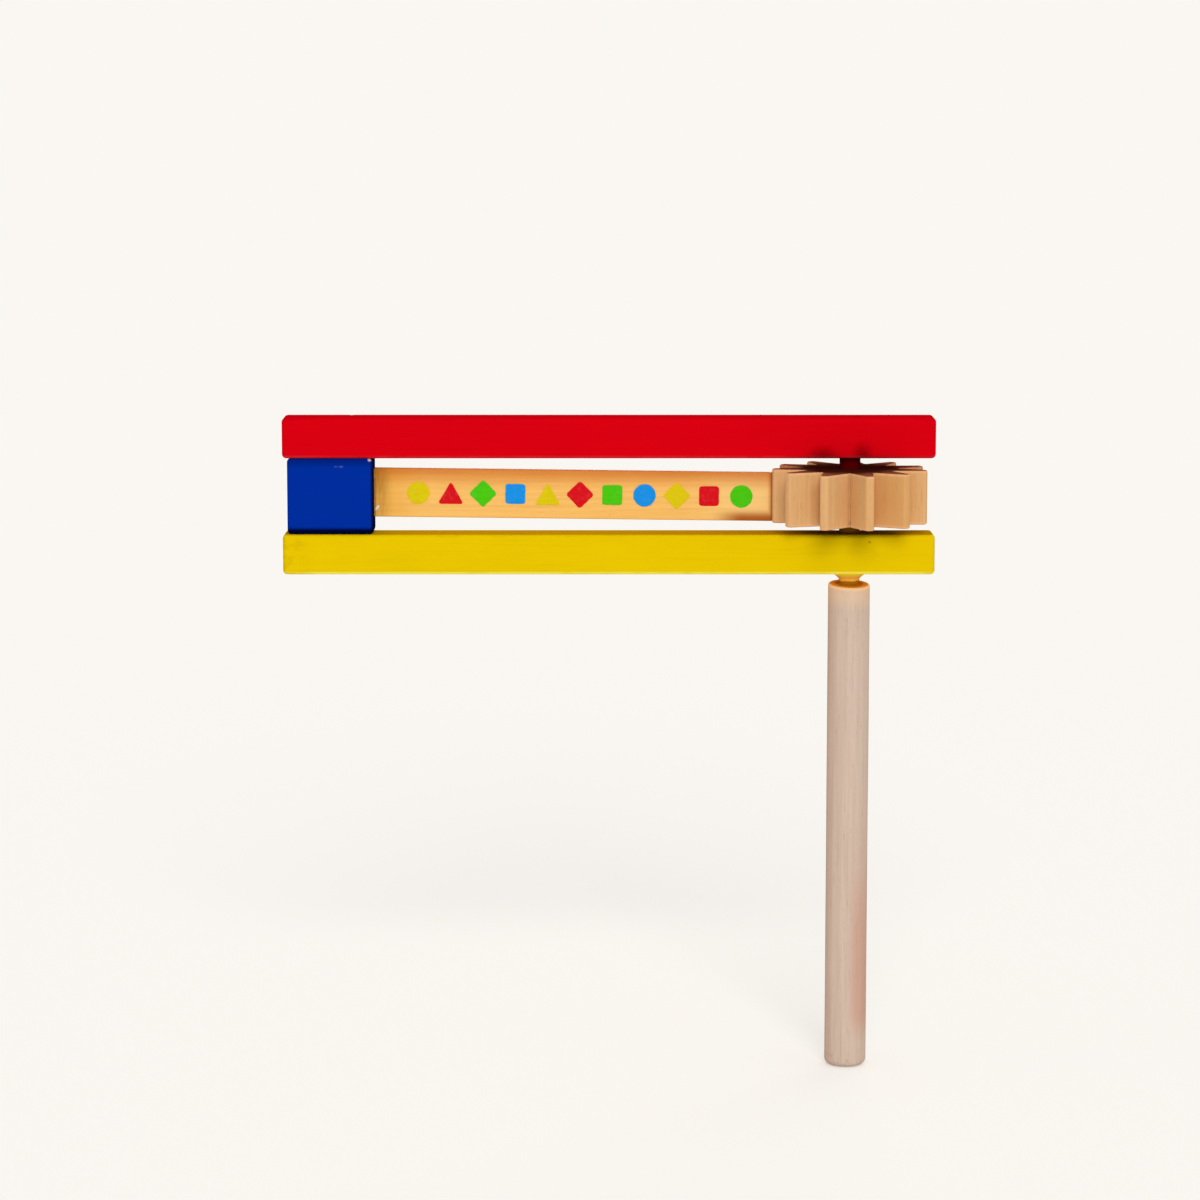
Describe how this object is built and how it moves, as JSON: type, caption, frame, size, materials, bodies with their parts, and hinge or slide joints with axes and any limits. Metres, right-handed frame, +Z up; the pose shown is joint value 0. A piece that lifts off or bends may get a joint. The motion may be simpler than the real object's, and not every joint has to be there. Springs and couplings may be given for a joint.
{
  "type": "gragger noisemaker",
  "caption": "Wooden ratchet noisemaker: a painted bar frame with an end block spins round a dowel handle, and its springy reed clicks over a star cog.",
  "frame": {"origin": "centre of the handle's lower end, on the spindle's axis", "axes": "+Z up along the handle towards the frame, -X along the bars towards the end block, -Y the front"},
  "size_m": [0.162, 0.0388, 0.1648],
  "materials": {
    "dowel_wood": "bare sanded dowel",
    "cog_wood": "bare sawn and moulded wood",
    "reed_wood": "varnished straight-grained slat",
    "red_paint": "glossy red toy paint on wood",
    "yellow_paint": "glossy yellow toy paint on wood",
    "blue_paint": "glossy blue toy paint on wood",
    "nail_steel": "bright wire nail"
  },
  "bodies": {
    "handle": {"handle": "dowel_wood", "spindle": "dowel_wood", "cog": "cog_wood", "cog_brad": "nail_steel"},
    "frame": {"upper_bar": "red_paint", "lower_bar": "yellow_paint", "upper_nails": "nail_steel", "lower_nails": "nail_steel", "end_block": "blue_paint"},
    "reed": {"reed": "reed_wood"}
  },
  "joints": [
    {"name": "frame_spin", "type": "hinge", "parent": "handle", "child": "frame", "pos_m": [0, 0, 0.14525], "axis": [0, 0, 1], "continuous": true},
    {"name": "reed_flex", "type": "hinge", "parent": "frame", "child": "reed", "pos_m": [-0.10349, 0.00021, 0.14525], "axis": [0, 0, 1], "range_deg": [-3, 3], "stiffness_Nm_per_rad": 1.5, "deforming": ["reed"]}
  ]
}
